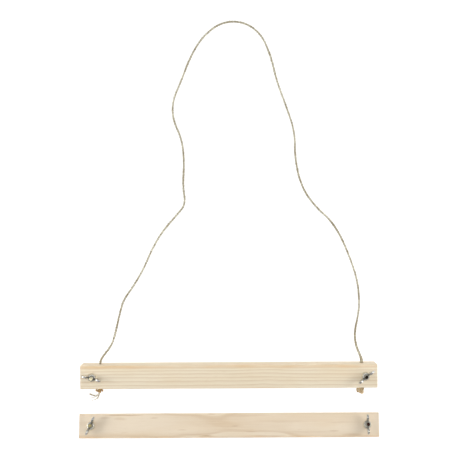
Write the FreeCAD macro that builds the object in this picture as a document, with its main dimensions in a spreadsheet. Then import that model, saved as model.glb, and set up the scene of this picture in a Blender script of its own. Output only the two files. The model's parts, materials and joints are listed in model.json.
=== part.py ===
import FreeCAD, Part

import math
import os

import Sketcher
from FreeCAD import Placement, Rotation, Vector

# A small hanging loom, lying on its back on a table: two wooden clamps, one above the other, and a
# twine loop to hang it by. Each clamp is a back bar and a front bar, squeezed together by a carriage
# bolt, a washer and a wing nut near each end.
# Millimetres and degrees. +X runs along the bars, +Y up towards the twine loop, +Z out of the front
# bars. The origin is on the table, under the middle of the two clamps.

DRIVING = {
    "bar_thickness": 12.0,
    "bar_edge_radius": 0.6,
    "upper_bar_length": 297.4,
    "upper_bar_height": 23.4,
    "lower_bar_length": 300.4,
    "lower_bar_height": 24.2,
    "upper_bar_middle": 26.85,
    "upper_seam": 1.0,
    "lower_seam": 0.0,
    "bolt_inset": 12.0,
    "bolt_diameter": 4.0,
    "bolt_length": 35.0,
    "bolt_tip_chamfer": 0.4,
    "bolt_clearance": 0.4,
    "head_diameter": 10.0,
    "head_height": 2.2,
    "neck_width": 4.4,
    "neck_depth": 3.0,
    "washer_diameter": 9.0,
    "washer_thickness": 0.8,
    "washer_clearance": 0.3,
    "hub_base_diameter": 8.0,
    "hub_top_diameter": 7.0,
    "hub_height": 4.6,
    "nut_clearance": 0.2,
    "wing_span": 20.0,
    "wing_height": 10.5,
    "wing_lobe_radius": 3.0,
    "wing_thickness": 1.9,
    "wing_root": 2.9,
    "wing_root_height": 4.4,
    "twine_diameter": 1.8,
    "clamped_twine_width": 2.4,
    "ply_diameter": 1.0,
    "knot_width": 7.2,
    "knot_depth": 5.2,
    "left_knot_length": 6.0,
    "right_knot_length": 7.2,
    "knot_flat": 0.6,
}

# Where the twine leaves the seam at the top of the upper clamp and comes out at the bottom of it.
TWINE_X = {"left": (-130.0, -130.2), "right": (134.4, 132.5)}

# How far each wing nut is turned from lying along its bar.
WING_ANGLE = {
    "upper_left": -15.0,
    "upper_right": 39.5,
    "lower_left": 66.0,
    "lower_right": 91.5,
}

# The loop's route from the left exit to the right one: out of the seam, down to the table, and
# round in the uneven curve that a stored length of twine takes.
LOOP_ROUTE = [
    (-130.0, 38.55, 14.7), (-130.0, 42.3, 14.7), (-127.5, 47.0, 13.2), (-123.4, 52.2, 9.8),
    (-119.4, 58.0, 5.8), (-116.6, 66.0, 2.0), (-114.2, 76.8, 0.9), (-111.4, 89.0, 0.9),
    (-107.6, 102.6, 0.9), (-98.2, 115.2, 0.9), (-86.8, 134.0, 0.9), (-78.2, 154.4, 0.9),
    (-67.0, 173.0, 0.9), (-52.6, 189.2, 0.9), (-43.2, 200.4, 0.9), (-46.3, 219.0, 0.9),
    (-44.5, 243.0, 0.9), (-46.8, 267.0, 0.9), (-56.2, 287.2, 0.9), (-56.2, 306.4, 0.9),
    (-47.4, 326.4, 0.9), (-38.4, 350.0, 0.9), (-26.0, 371.2, 0.9), (-6.6, 386.6, 0.9),
    (15.8, 387.6, 0.9), (34.6, 375.4, 0.9), (45.0, 351.2, 0.9), (50.6, 326.0, 0.9),
    (60.3, 300.0, 0.9), (69.1, 273.4, 0.9), (68.8, 246.4, 0.9), (75.4, 217.6, 0.9),
    (88.6, 198.0, 0.9), (111.4, 177.4, 0.9), (131.8, 127.0, 0.9), (134.4, 98.4, 0.9),
    (132.5, 84.0, 0.9), (129.9, 73.0, 0.9), (129.0, 64.4, 2.6), (129.5, 57.2, 6.4),
    (131.0, 51.4, 10.2), (132.9, 46.6, 13.2), (134.4, 42.0, 14.7), (134.4, 38.55, 14.7),
]

# The untwisted end that sticks out of the left knot.
FRAY_ROUTE = [(-131.8, 10.8, 14.2), (-134.8, 7.0, 12.0), (-138.4, 5.9, 9.6), (-142.0, 7.0, 8.0)]

ARC_SHARE = 0.45        # of the shorter run, taken by the arc at each corner of a route
VOLUME_TOLERANCE = 0.01

doc = FreeCAD.newDocument("loom")
sheet = doc.addObject("Spreadsheet::Sheet", "Dimensions")
for row, (alias, value) in enumerate(DRIVING.items(), start=1):
    sheet.set(f"A{row}", alias)
    sheet.set(f"B{row}", str(value))
    sheet.setAlias(f"B{row}", alias)
doc.recompute()


def size(alias):
    return float(sheet.get(alias))


# --- sketch helpers ---------------------------------------------------------------------------

def new_body(label):
    body = doc.addObject("PartDesign::Body", label)
    body.Label = label
    return body


def origin_feature(body, role):
    return next(item for item in body.Origin.OriginFeatures if item.Role == role)


def new_sketch(body, role, name):
    sketch = body.newObject("Sketcher::SketchObject", name)
    sketch.AttachmentSupport = [(origin_feature(body, role), "")]
    sketch.MapMode = "FlatFace"
    return sketch


def evaluate(expression):
    """Value of an expression of sheet aliases, for a sketch's first guess before it is solved."""
    return float(sheet.evalExpression(expression))


def bind(sketch, constraint, name, expression):
    """Adds a dimension and ties it to an expression of sheet aliases."""
    index = sketch.addConstraint(constraint)
    sketch.renameConstraint(index, name)
    sketch.setExpression(f"Constraints.{name}", expression.replace("$", "Dimensions."))


def value_of(expression):
    return evaluate(expression.replace("$", ""))


def pin_point(sketch, geometry, point, name, across, up):
    """Holds a sketch point at two expressions measured from the sketch's origin."""
    for letter, kind, axis, expression in (("x", "DistanceX", -2, across), ("y", "DistanceY", -1, up)):
        if expression == "0":
            sketch.addConstraint(Sketcher.Constraint("PointOnObject", geometry, point, axis))
        else:
            bound = Sketcher.Constraint(kind, -1, 1, geometry, point, value_of(expression))
            bind(sketch, bound, f"{name}_{letter}", expression)


def rectangle(sketch, name, middle, wide, tall):
    """A rectangle with its sides along the sketch's axes, centred on the expressions in middle."""
    half_wide = value_of(wide) / 2
    half_tall = value_of(tall) / 2
    centre = Vector(value_of(middle[0]), value_of(middle[1]), 0)
    signs = ((-1, -1), (1, -1), (1, 1), (-1, 1))
    corners = [centre + Vector(x * half_wide, y * half_tall, 0) for x, y in signs]
    first = sketch.GeometryCount
    for start, end in zip(corners, corners[1:] + corners[:1]):
        sketch.addGeometry(Part.LineSegment(start, end), False)
    for side in range(4):
        following = first + (side + 1) % 4
        sketch.addConstraint(Sketcher.Constraint("Coincident", first + side, 2, following, 1))
        direction = "Horizontal" if side % 2 == 0 else "Vertical"
        sketch.addConstraint(Sketcher.Constraint(direction, first + side))
    across = Sketcher.Constraint("DistanceX", first, 1, first, 2, 2 * half_wide)
    bind(sketch, across, f"{name}_wide", wide)
    upward = Sketcher.Constraint("DistanceY", first + 1, 1, first + 1, 2, 2 * half_tall)
    bind(sketch, upward, f"{name}_tall", tall)
    low_corner = [f"{place} - ({extent}) / 2" for place, extent in zip(middle, (wide, tall))]
    pin_point(sketch, first, 1, f"{name}_corner", *low_corner)


def circle(sketch, name, middle, diameter):
    centre = Vector(value_of(middle[0]), value_of(middle[1]), 0)
    index = sketch.addGeometry(Part.Circle(centre, Vector(0, 0, 1), value_of(diameter) / 2), False)
    bind(sketch, Sketcher.Constraint("Diameter", index, value_of(diameter)), f"{name}_diameter", diameter)
    pin_point(sketch, index, 3, f"{name}_middle", *middle)


def through_pocket(body, sketch):
    pocket = body.newObject("PartDesign::Pocket", "Bore")
    pocket.Profile = sketch
    pocket.Type = "ThroughAll"
    pocket.Reversed = True
    sketch.Visibility = False
    return pocket


# --- wooden bars ------------------------------------------------------------------------------

def make_bar(label, clamp, bolt_necks):
    """A pine bar with its rear face on the body's XY plane and a clearance hole near each end."""
    body = new_body(label)
    outline = new_sketch(body, "XY_Plane", "BarOutline")
    rectangle(outline, "bar", ("0", "0"), f"${clamp}_bar_length", f"${clamp}_bar_height")
    pad = body.newObject("PartDesign::Pad", "Bar")
    pad.Profile = outline
    pad.setExpression("Length", "Dimensions.bar_thickness")
    doc.recompute()
    rounded = body.newObject("PartDesign::Fillet", "EasedEdges")
    rounded.Base = (pad, [f"Edge{number}" for number in range(1, 13)])
    rounded.setExpression("Radius", "Dimensions.bar_edge_radius")
    doc.recompute()
    holes = new_sketch(body, "XY_Plane", "BoltHoles")
    bolt_x = f"${clamp}_bar_length / 2 - $bolt_inset"
    for name, sign in (("left", "-1"), ("right", "1")):
        circle(holes, name, (f"{sign} * ({bolt_x})", "0"), "$bolt_diameter + 2 * $bolt_clearance")
    through_pocket(body, holes)
    if bolt_necks:
        recess = new_sketch(body, "XY_Plane", "NeckRecesses")
        for name, sign in (("left", "-1"), ("right", "1")):
            rectangle(recess, name, (f"{sign} * ({bolt_x})", "0"), "$neck_width", "$neck_width")
        sockets = body.newObject("PartDesign::Pocket", "NeckSockets")
        sockets.Profile = recess
        sockets.setExpression("Length", "Dimensions.neck_depth")
        sockets.Reversed = True
    return body


def expected_bar_volume(clamp, bolt_necks):
    """Volume of a bar with sharp edges, which the eased edges only reduce by a little."""
    bore_area = math.pi * (size("bolt_diameter") / 2 + size("bolt_clearance")) ** 2
    volume = size(f"{clamp}_bar_length") * size(f"{clamp}_bar_height") * size("bar_thickness")
    volume -= 2 * bore_area * size("bar_thickness")
    if bolt_necks:
        volume -= 2 * (size("neck_width") ** 2 - bore_area) * size("neck_depth")
    return volume


# --- fasteners --------------------------------------------------------------------------------

def make_bolt(label):
    """A carriage bolt standing along +Z: domed head below the XY plane, square neck above it."""
    body = new_body(label)
    profile = new_sketch(body, "XZ_Plane", "BoltProfile")
    radius = "$bolt_diameter / 2"
    dome_radius = "(($head_diameter / 2) ^ 2 + $head_height ^ 2) / (2 * $head_height)"
    points = [
        ("0", "-1 * $head_height"),
        ("$head_diameter / 2", "0"),
        (radius, "0"),
        (radius, "$bolt_length - $bolt_tip_chamfer"),
        (f"{radius} - $bolt_tip_chamfer", "$bolt_length"),
        ("0", "$bolt_length"),
    ]
    places = [Vector(value_of(across), value_of(up), 0) for across, up in points]
    sphere_centre = Vector(0, value_of(dome_radius) - size("head_height"), 0)
    dome = Part.Circle(sphere_centre, Vector(0, 0, 1), value_of(dome_radius))
    rim_angle = math.atan2(places[1].y - sphere_centre.y, places[1].x)
    profile.addGeometry(Part.ArcOfCircle(dome, -math.pi / 2, rim_angle), False)
    for start, end in zip(places[1:], places[2:] + places[:1]):
        profile.addGeometry(Part.LineSegment(start, end), False)
    count = len(points)
    for number in range(count):
        profile.addConstraint(Sketcher.Constraint("Coincident", number, 2, (number + 1) % count, 1))
        pin_point(profile, number, 1, f"point{number}", *points[number])
    bind(profile, Sketcher.Constraint("Radius", 0, value_of(dome_radius)), "dome", dome_radius)
    revolved = body.newObject("PartDesign::Revolution", "HeadAndShank")
    revolved.Profile = profile
    revolved.ReferenceAxis = (profile, ["V_Axis"])
    revolved.Angle = 360
    doc.recompute()
    square = new_sketch(body, "XY_Plane", "NeckOutline")
    rectangle(square, "neck", ("0", "0"), "$neck_width", "$neck_width")
    neck = body.newObject("PartDesign::Pad", "SquareNeck")
    neck.Profile = square
    neck.setExpression("Length", "Dimensions.neck_depth")
    return body


def make_washer(label):
    """A flat ring on the XY plane, cut from two cylinders."""
    disc = doc.addObject("Part::Cylinder", f"{label}_disc")
    disc.setExpression("Radius", "Dimensions.washer_diameter / 2")
    disc.setExpression("Height", "Dimensions.washer_thickness")
    bore = doc.addObject("Part::Cylinder", f"{label}_bore")
    bore.setExpression("Radius", "Dimensions.bolt_diameter / 2 + Dimensions.washer_clearance")
    bore.setExpression("Height", "Dimensions.washer_thickness")
    ring = doc.addObject("Part::Cut", label)
    ring.Label = label
    ring.Base = disc
    ring.Tool = bore
    return ring


def tangent_point(outside, centre, radius, side):
    """Where a line from a point outside a circle touches it, on the given side of the centre line."""
    away = outside - centre
    distance = away.Length
    angle = math.atan2(away.y, away.x) + side * math.acos(radius / distance)
    return centre + Vector(math.cos(angle), math.sin(angle), 0) * radius


def make_wing_nut(label):
    """A wing nut standing on the XY plane with its wings along X."""
    body = new_body(label)
    hub_profile = new_sketch(body, "XZ_Plane", "HubProfile")
    corners = [
        ("0", "0"),
        ("$hub_base_diameter / 2", "0"),
        ("$hub_top_diameter / 2", "$hub_height"),
        ("0", "$hub_height"),
    ]
    places = [Vector(value_of(across), value_of(up), 0) for across, up in corners]
    for start, end in zip(places, places[1:] + places[:1]):
        hub_profile.addGeometry(Part.LineSegment(start, end), False)
    for number in range(4):
        hub_profile.addConstraint(Sketcher.Constraint("Coincident", number, 2, (number + 1) % 4, 1))
    pin_point(hub_profile, 0, 1, "foot", "0", "0")
    for number in (1, 2, 3):
        pin_point(hub_profile, number, 1, f"corner{number}", *corners[number])
    hub = body.newObject("PartDesign::Revolution", "Hub")
    hub.Profile = hub_profile
    hub.ReferenceAxis = (hub_profile, ["V_Axis"])
    hub.Angle = 360
    doc.recompute()

    wing_profile = new_sketch(body, "XZ_Plane", "WingProfile")
    lobe_x = "$wing_span / 2 - $wing_lobe_radius"
    lobe_z = "$wing_height - $wing_lobe_radius"
    centre = Vector(value_of(lobe_x), value_of(lobe_z), 0)
    radius = size("wing_lobe_radius")
    foot = Vector(size("wing_root"), 0, 0)
    shoulder = Vector(size("wing_root"), size("wing_root_height"), 0)
    low_touch = tangent_point(foot, centre, radius, 1)
    high_touch = tangent_point(shoulder, centre, radius, -1)
    low_angle = math.atan2(low_touch.y - centre.y, low_touch.x - centre.x)
    high_angle = math.atan2(high_touch.y - centre.y, high_touch.x - centre.x)
    lobe = Part.Circle(centre, Vector(0, 0, 1), radius)
    wing_profile.addGeometry(Part.LineSegment(foot, low_touch), False)
    wing_profile.addGeometry(Part.ArcOfCircle(lobe, low_angle, high_angle), False)
    wing_profile.addGeometry(Part.LineSegment(high_touch, shoulder), False)
    wing_profile.addGeometry(Part.LineSegment(shoulder, foot), False)
    for first, second in ((0, 1), (1, 2)):
        wing_profile.addConstraint(Sketcher.Constraint("Tangent", first, 2, second, 1))
    for first, second in ((2, 3), (3, 0)):
        wing_profile.addConstraint(Sketcher.Constraint("Coincident", first, 2, second, 1))
    pin_point(wing_profile, 0, 1, "foot", "$wing_root", "0")
    pin_point(wing_profile, 3, 1, "shoulder", "$wing_root", "$wing_root_height")
    pin_point(wing_profile, 1, 3, "lobe", lobe_x, lobe_z)
    bind(wing_profile, Sketcher.Constraint("Radius", 1, radius), "lobe_radius", "$wing_lobe_radius")
    wing = body.newObject("PartDesign::Pad", "Wing")
    wing.Profile = wing_profile
    wing.SideType = "Symmetric"
    wing.setExpression("Length", "Dimensions.wing_thickness")
    doc.recompute()
    both_wings = body.newObject("PartDesign::PolarPattern", "BothWings")
    both_wings.Originals = [wing]
    both_wings.Axis = (origin_feature(body, "Z_Axis"), [""])
    both_wings.Angle = 360
    both_wings.Occurrences = 2
    body.Tip = both_wings
    doc.recompute()

    bore = new_sketch(body, "XY_Plane", "BoreOutline")
    circle(bore, "bore", ("0", "0"), "$bolt_diameter + 2 * $nut_clearance")
    body.Tip = through_pocket(body, bore)
    return body


# --- twine ------------------------------------------------------------------------------------

def rounded_path(route):
    """Straight runs joined by tangent arcs. Returns the wire and the arcs' radii."""
    points = [Vector(*point) for point in route]
    edges = []
    radii = []
    last = points[0]
    for before, corner, after in zip(points, points[1:], points[2:]):
        arriving = (corner - before).normalize()
        leaving = (after - corner).normalize()
        half_turn = arriving.getAngle(leaving) / 2
        cut_back = ARC_SHARE * min((corner - before).Length, (after - corner).Length)
        radius = cut_back / math.tan(half_turn)
        inward = (leaving - arriving).normalize()
        start = corner - arriving * cut_back
        end = corner + leaving * cut_back
        middle = corner + inward * (math.hypot(radius, cut_back) - radius)
        edges.append(Part.LineSegment(last, start).toShape())
        edges.append(Part.Arc(start, middle, end).toShape())
        radii.append(radius)
        last = end
    edges.append(Part.LineSegment(last, points[-1]).toShape())
    return Part.Wire(edges), radii


def make_tube(label, route, diameter):
    """A round tube along a route, checked against its section times its length."""
    path, radii = rounded_path(route)
    start = Vector(*route[0])
    direction = Vector(*route[1]) - start
    section = Part.Wire(Part.Circle(start, direction, diameter / 2).toShape())
    tube = path.makePipeShell([section], True, False)
    expected = math.pi * (diameter / 2) ** 2 * path.Length
    shown = ", ".join(f"{radius:.1f}" for radius in radii)
    print(f"{label}: length {path.Length:.1f} mm, radii {shown}")
    print(f"{label}: volume {tube.Volume:.1f} mm3, section times length {expected:.1f} mm3")
    if abs(tube.Volume / expected - 1) > VOLUME_TOLERANCE:
        raise RuntimeError(f"{label} has the wrong volume")
    feature = doc.addObject("Part::Feature", label)
    feature.Label = label
    feature.Shape = tube
    return feature


def make_clamped_twine(label, top_x, bottom_x):
    """The stretch squeezed flat between the upper bars, drawn on the body's XY plane."""
    body = new_body(label)
    outline = new_sketch(body, "XY_Plane", "StripOutline")
    half_width = size("clamped_twine_width") / 2
    low = size("upper_bar_middle") - size("upper_bar_height") / 2
    high = size("upper_bar_middle") + size("upper_bar_height") / 2
    corners = [
        Vector(bottom_x - half_width, low, 0),
        Vector(bottom_x + half_width, low, 0),
        Vector(top_x + half_width, high, 0),
        Vector(top_x - half_width, high, 0),
    ]
    for start, end in zip(corners, corners[1:] + corners[:1]):
        outline.addGeometry(Part.LineSegment(start, end), False)
    for number in range(4):
        outline.addConstraint(Sketcher.Constraint("Coincident", number, 2, (number + 1) % 4, 1))
    width = "$clamped_twine_width"
    heights = ("$upper_bar_middle - $upper_bar_height / 2", "$upper_bar_middle + $upper_bar_height / 2")
    expressions = [
        (f"{bottom_x} - {width} / 2", heights[0]),
        (f"{bottom_x} + {width} / 2", heights[0]),
        (f"{top_x} + {width} / 2", heights[1]),
        (f"{top_x} - {width} / 2", heights[1]),
    ]
    for number, (across, up) in enumerate(expressions):
        pin_point(outline, number, 1, f"corner{number}", across, up)
    strip = body.newObject("PartDesign::Pad", "Strip")
    strip.Profile = outline
    strip.setExpression("Length", "Dimensions.upper_seam")
    body.Placement = Placement(Vector(0, 0, size("head_height") + size("bar_thickness")), Rotation())
    return body


def make_knot(label, side, middle_x):
    """A plump knot that stops the twine, pulled flat against the lower edge of the upper clamp."""
    clamp_edge = size("upper_bar_middle") - size("upper_bar_height") / 2
    seam_middle = size("head_height") + size("bar_thickness") + size("upper_seam") / 2
    half_length = size(f"{side}_knot_length") / 2
    ball = doc.addObject("Part::Ellipsoid", f"{label}_ball")
    ball.setExpression("Radius1", "Dimensions.knot_depth / 2")
    ball.setExpression("Radius2", "Dimensions.knot_width / 2")
    ball.setExpression("Radius3", f"Dimensions.{side}_knot_length / 2")
    middle = Vector(middle_x, clamp_edge + size("knot_flat") - half_length, seam_middle)
    ball.Placement = Placement(middle, Rotation())
    block = doc.addObject("Part::Box", f"{label}_block")
    block.setExpression("Length", "2 * Dimensions.knot_width")
    block.setExpression("Width", "Dimensions.knot_width")
    block.setExpression("Height", "2 * Dimensions.knot_depth")
    corner = Vector(middle_x - size("knot_width"), clamp_edge, seam_middle - size("knot_depth"))
    block.Placement = Placement(corner, Rotation())
    knot = doc.addObject("Part::Cut", label)
    knot.Label = label
    knot.Base = ball
    knot.Tool = block
    return knot


# --- the two clamps ---------------------------------------------------------------------------

def resting_tilt():
    """Angle at which a clamp lies tipped back on its domed heads and its rear upper edge."""
    dome = ((size("head_diameter") / 2) ** 2 + size("head_height") ** 2) / (2 * size("head_height"))
    rise = dome - size("head_height") - size("bar_edge_radius")
    reach = size("lower_bar_height") / 2 - size("bar_edge_radius")
    drop = dome - size("bar_edge_radius")
    return math.asin(drop / math.hypot(reach, rise)) - math.atan2(rise, reach)


def clamp_frames():
    """The place of each clamp's back face: the upper lies flat and the lower is tipped back."""
    tilt = resting_tilt()
    dome = ((size("head_diameter") / 2) ** 2 + size("head_height") ** 2) / (2 * size("head_height"))
    half_height = size("lower_bar_height") / 2
    upper_edge = size("upper_bar_middle") + size("upper_bar_height") / 2
    lower_y = -upper_edge + half_height * math.cos(tilt)
    lower_z = dome - (dome - size("head_height")) * math.cos(tilt)
    print(f"lower clamp: tilt {math.degrees(tilt):.3f} degrees, back face at y {lower_y:.3f}, z {lower_z:.3f}")
    return {
        "upper": Placement(Vector(0, size("upper_bar_middle"), size("head_height")), Rotation()),
        "lower": Placement(Vector(0, lower_y, lower_z), Rotation(Vector(1, 0, 0), -math.degrees(tilt))),
    }


def local(x, z, turn=0.0):
    return Placement(Vector(x, 0, z), Rotation(Vector(0, 0, 1), turn))


def make_clamp(clamp, place):
    """Both bars of a clamp and its two sets of fasteners."""
    back = make_bar(f"{clamp}_back_bar", clamp, True)
    back.Placement = place
    front_rear = size("bar_thickness") + size(f"{clamp}_seam")
    front = make_bar(f"{clamp}_front_bar", clamp, False)
    front.Placement = place * local(0, front_rear)
    front_face = front_rear + size("bar_thickness")
    pieces = [back, front]
    for side, sign in (("left", -1), ("right", 1)):
        bolt_x = sign * (size(f"{clamp}_bar_length") / 2 - size("bolt_inset"))
        bolt = make_bolt(f"{clamp}_{side}_bolt")
        bolt.Placement = place * local(bolt_x, 0)
        washer = make_washer(f"{clamp}_{side}_washer")
        washer.Placement = place * local(bolt_x, front_face)
        nut = make_wing_nut(f"{clamp}_{side}_wing_nut")
        turn = WING_ANGLE[f"{clamp}_{side}"]
        nut.Placement = place * local(bolt_x, front_face + size("washer_thickness"), turn)
        pieces += [bolt, washer, nut]
    return pieces


def make_twine():
    pieces = [make_tube("hanging_twine", LOOP_ROUTE, size("twine_diameter"))]
    for side, (top_x, bottom_x) in TWINE_X.items():
        pieces.append(make_clamped_twine(f"{side}_clamped_twine", top_x, bottom_x))
        pieces.append(make_knot(f"{side}_knot", side, bottom_x))
    pieces.append(make_tube("left_frayed_end", FRAY_ROUTE, size("ply_diameter")))
    return pieces


def check(pieces):
    """Stops before anything is written if an object failed or a piece isn't one sound solid."""
    for item in doc.Objects:
        if {"Invalid", "Error"} & set(item.State):
            raise RuntimeError(f"{item.Label} failed: {item.State}")
    for piece in pieces:
        shape = piece.Shape
        if shape.isNull() or not shape.isValid() or len(shape.Solids) != 1:
            raise RuntimeError(f"{piece.Label} isn't one valid solid")
    shapes = {piece.Label: piece.Shape for piece in pieces}
    for clamp in ("upper", "lower"):
        for bar, bolt_necks in (("back", True), ("front", False)):
            found = shapes[f"{clamp}_{bar}_bar"].Volume
            expected = expected_bar_volume(clamp, bolt_necks)
            if abs(found / expected - 1) > VOLUME_TOLERANCE:
                raise RuntimeError(f"{clamp}_{bar}_bar lacks its holes: {found:.0f}, {expected:.0f}")


def main():
    pieces = []
    for clamp, place in clamp_frames().items():
        pieces += make_clamp(clamp, place)
    pieces += make_twine()
    doc.recompute()
    check(pieces)
    os.makedirs("parts", exist_ok=True)
    for piece in pieces:
        piece.Shape.exportStep(f"parts/{piece.Label}.step")
        print(f"{piece.Label}: {piece.Shape.Volume:.1f} mm3")


main()
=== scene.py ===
"""A small hanging loom on a white table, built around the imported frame: two pine clamps with
carriage bolts and wing nuts, and a loop of jute twine. Metres, in the frame's own axes."""

import json
import math

import bmesh
import bpy
import numpy as np
from mathutils import Matrix, Vector, noise


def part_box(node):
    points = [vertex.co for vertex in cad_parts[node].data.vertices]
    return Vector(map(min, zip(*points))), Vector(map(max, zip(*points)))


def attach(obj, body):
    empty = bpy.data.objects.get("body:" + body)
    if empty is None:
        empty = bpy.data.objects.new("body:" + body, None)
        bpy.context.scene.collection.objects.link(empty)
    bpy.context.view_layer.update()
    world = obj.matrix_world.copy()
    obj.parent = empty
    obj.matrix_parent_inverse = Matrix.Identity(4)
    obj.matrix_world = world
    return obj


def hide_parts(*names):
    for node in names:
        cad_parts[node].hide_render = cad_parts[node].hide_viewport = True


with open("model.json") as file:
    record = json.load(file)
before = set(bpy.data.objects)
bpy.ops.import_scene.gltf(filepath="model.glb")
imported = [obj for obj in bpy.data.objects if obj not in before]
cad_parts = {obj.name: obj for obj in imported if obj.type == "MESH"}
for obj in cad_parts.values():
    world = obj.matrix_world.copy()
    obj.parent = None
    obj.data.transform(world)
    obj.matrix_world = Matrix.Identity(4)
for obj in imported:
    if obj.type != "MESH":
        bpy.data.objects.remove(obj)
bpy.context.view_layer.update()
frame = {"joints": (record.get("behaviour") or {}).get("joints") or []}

MM = 0.001
SIDES = ("left", "right")
CLAMPS = ("upper", "lower")
JOINT = {joint["name"]: joint for joint in frame["joints"]}

# --- the twine's size and route ---

TWINE_DIAMETER = 1.8 * MM

# The loop's route: the points in the part's source, with four near the left exit (the second to
# the fifth) moved by up to 0.8 mm.
LOOP_ROUTE_MM = [
    (-130.0, 38.55, 14.7), (-129.9, 42.3, 14.7), (-126.8, 47.0, 13.2), (-122.6, 52.2, 9.8),
    (-118.9, 58.0, 5.8), (-116.6, 66.0, 2.0), (-114.2, 76.8, 0.9), (-111.4, 89.0, 0.9),
    (-107.6, 102.6, 0.9), (-98.2, 115.2, 0.9), (-86.8, 134.0, 0.9), (-78.2, 154.4, 0.9),
    (-67.0, 173.0, 0.9), (-52.6, 189.2, 0.9), (-43.2, 200.4, 0.9), (-46.3, 219.0, 0.9),
    (-44.5, 243.0, 0.9), (-46.8, 267.0, 0.9), (-56.2, 287.2, 0.9), (-56.2, 306.4, 0.9),
    (-47.4, 326.4, 0.9), (-38.4, 350.0, 0.9), (-26.0, 371.2, 0.9), (-6.6, 386.6, 0.9),
    (15.8, 387.6, 0.9), (34.6, 375.4, 0.9), (45.0, 351.2, 0.9), (50.6, 326.0, 0.9),
    (60.3, 300.0, 0.9), (69.1, 273.4, 0.9), (68.8, 246.4, 0.9), (75.4, 217.6, 0.9),
    (88.6, 198.0, 0.9), (111.4, 177.4, 0.9), (131.8, 127.0, 0.9), (134.4, 98.4, 0.9),
    (132.5, 84.0, 0.9), (129.9, 73.0, 0.9), (129.0, 64.4, 2.6), (129.5, 57.2, 6.4),
    (131.0, 51.4, 10.2), (132.9, 46.6, 13.2), (134.4, 42.0, 14.7), (134.4, 38.55, 14.7),
]


# --- mesh helpers ---

def new_object(name, data):
    piece = bpy.data.objects.new(name, data)
    bpy.context.scene.collection.objects.link(piece)
    return piece


def mesh_from(name, vertices, faces):
    mesh = bpy.data.meshes.new(name)
    mesh.from_pydata([tuple(vertex) for vertex in vertices], [], faces)
    mesh.validate()
    return mesh


def smooth_shade(piece, angle):
    """Smooth shading that keeps edges sharper than the angle, in degrees."""
    piece.data.shade_smooth()
    piece.data.set_sharp_from_angle(angle=math.radians(angle))


def recalculate_normals(mesh):
    work = bmesh.new()
    work.from_mesh(mesh)
    bmesh.ops.recalc_face_normals(work, faces=work.faces)
    work.to_mesh(mesh)
    work.free()


def apply_modifiers(piece):
    """Replaces the piece's mesh by what its modifiers make of it."""
    bpy.context.view_layer.update()
    evaluated = piece.evaluated_get(bpy.context.evaluated_depsgraph_get())
    mesh = bpy.data.meshes.new_from_object(evaluated)
    piece.modifiers.clear()
    piece.data = mesh


def ring_points(radius, height, sides):
    """Points round the Z axis at a height."""
    angles = [2 * math.pi * side / sides for side in range(sides)]
    return [(radius * math.cos(angle), radius * math.sin(angle), height) for angle in angles]


def tube_faces(rings, sides, first=0, closed=False):
    """Faces between rings of points, which are numbered ring by ring from the first point on. A
    closed tube's last ring joins its first."""
    faces = []
    for ring in range(rings if closed else rings - 1):
        low = first + ring * sides
        high = first + (ring + 1) % rings * sides
        for corner in range(sides):
            following = (corner + 1) % sides
            faces.append((low + corner, low + following, high + following, high + corner))
    return faces


def end_faces(rings, sides):
    """The faces that close the first and the last ring of a tube."""
    return [tuple(reversed(range(sides))), tuple(range((rings - 1) * sides, rings * sides))]


# --- lines ---

SPLINE_STEPS = 24


def spline_points(route):
    """Points of the smooth NURBS line that has the route's points, which are in millimetres, as its
    control points."""
    curve = bpy.data.curves.new("route", "CURVE")
    curve.dimensions = "3D"
    spline = curve.splines.new("NURBS")
    spline.points.add(len(route) - 1)
    for point, place in zip(spline.points, route):
        point.co = (*(value * MM for value in place), 1.0)
    spline.order_u = 3
    spline.use_endpoint_u = True
    spline.resolution_u = SPLINE_STEPS
    holder = new_object("route", curve)
    bpy.context.view_layer.update()
    evaluated = holder.evaluated_get(bpy.context.evaluated_depsgraph_get())
    mesh = bpy.data.meshes.new_from_object(evaluated)
    points = np.array([vertex.co for vertex in mesh.vertices], float)
    bpy.data.objects.remove(holder)
    bpy.data.curves.remove(curve)
    bpy.data.meshes.remove(mesh)
    return points


def distances_along(points):
    """How far along a line each of its points is."""
    steps = np.linalg.norm(np.diff(points, axis=0), axis=1)
    return np.concatenate([[0.0], np.cumsum(steps)])


def evenly_spaced(points, step):
    """The same line with its points a step apart, and how far along it each of them is."""
    along = distances_along(points)
    count = max(2, int(round(along[-1] / step)) + 1)
    wanted = np.linspace(0.0, along[-1], count)
    return np.stack([np.interp(wanted, along, points[:, axis]) for axis in range(3)], axis=1), wanted


def frames_along(points):
    """Tangents, and normals and binormals that don't twist, at each point of a line."""
    tangents = np.gradient(points, axis=0)
    tangents /= np.linalg.norm(tangents, axis=1)[:, None]
    start = np.cross(tangents[0], (0.0, 0.0, 1.0))
    if np.linalg.norm(start) < 0.1:
        start = np.cross(tangents[0], (0.0, 1.0, 0.0))
    normals = [start / np.linalg.norm(start)]
    for tangent in tangents[1:]:
        carried = normals[-1] - tangent * np.dot(normals[-1], tangent)
        normals.append(carried / np.linalg.norm(carried))
    normals = np.array(normals)
    return tangents, normals, np.cross(tangents, normals)


# --- twine ---

PLIES = 2
PLY_SIDES = 8
STRAND_STEP = 0.45 * MM
# A ply's radius, and its distance from the twine's middle, as shares of the twine's diameter.
PLY_RADIUS = 0.36
PLY_OFFSET = 0.265
# How many points apart the twine's changes of thickness and tone are, and how large they are.
THICKNESS_CHANGE = (30, 0.07)
TONE_CHANGE = (24, 0.16)
# How much darker the twine's ends are made, as painted shade near the bars.
END_SHADE_TONE = 0.34
FIBRE_SIDES = 3
FIBRE_STEPS = 4
FIBRE_TAPER = 0.7
# Where a fibre starts, as a share of the twine's diameter from its middle.
FIBRE_ROOT = 0.42
# The gap in millimetres between one strand's places and the next one's, so that no two look alike.
STRAND_GAP = 37.0


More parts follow.
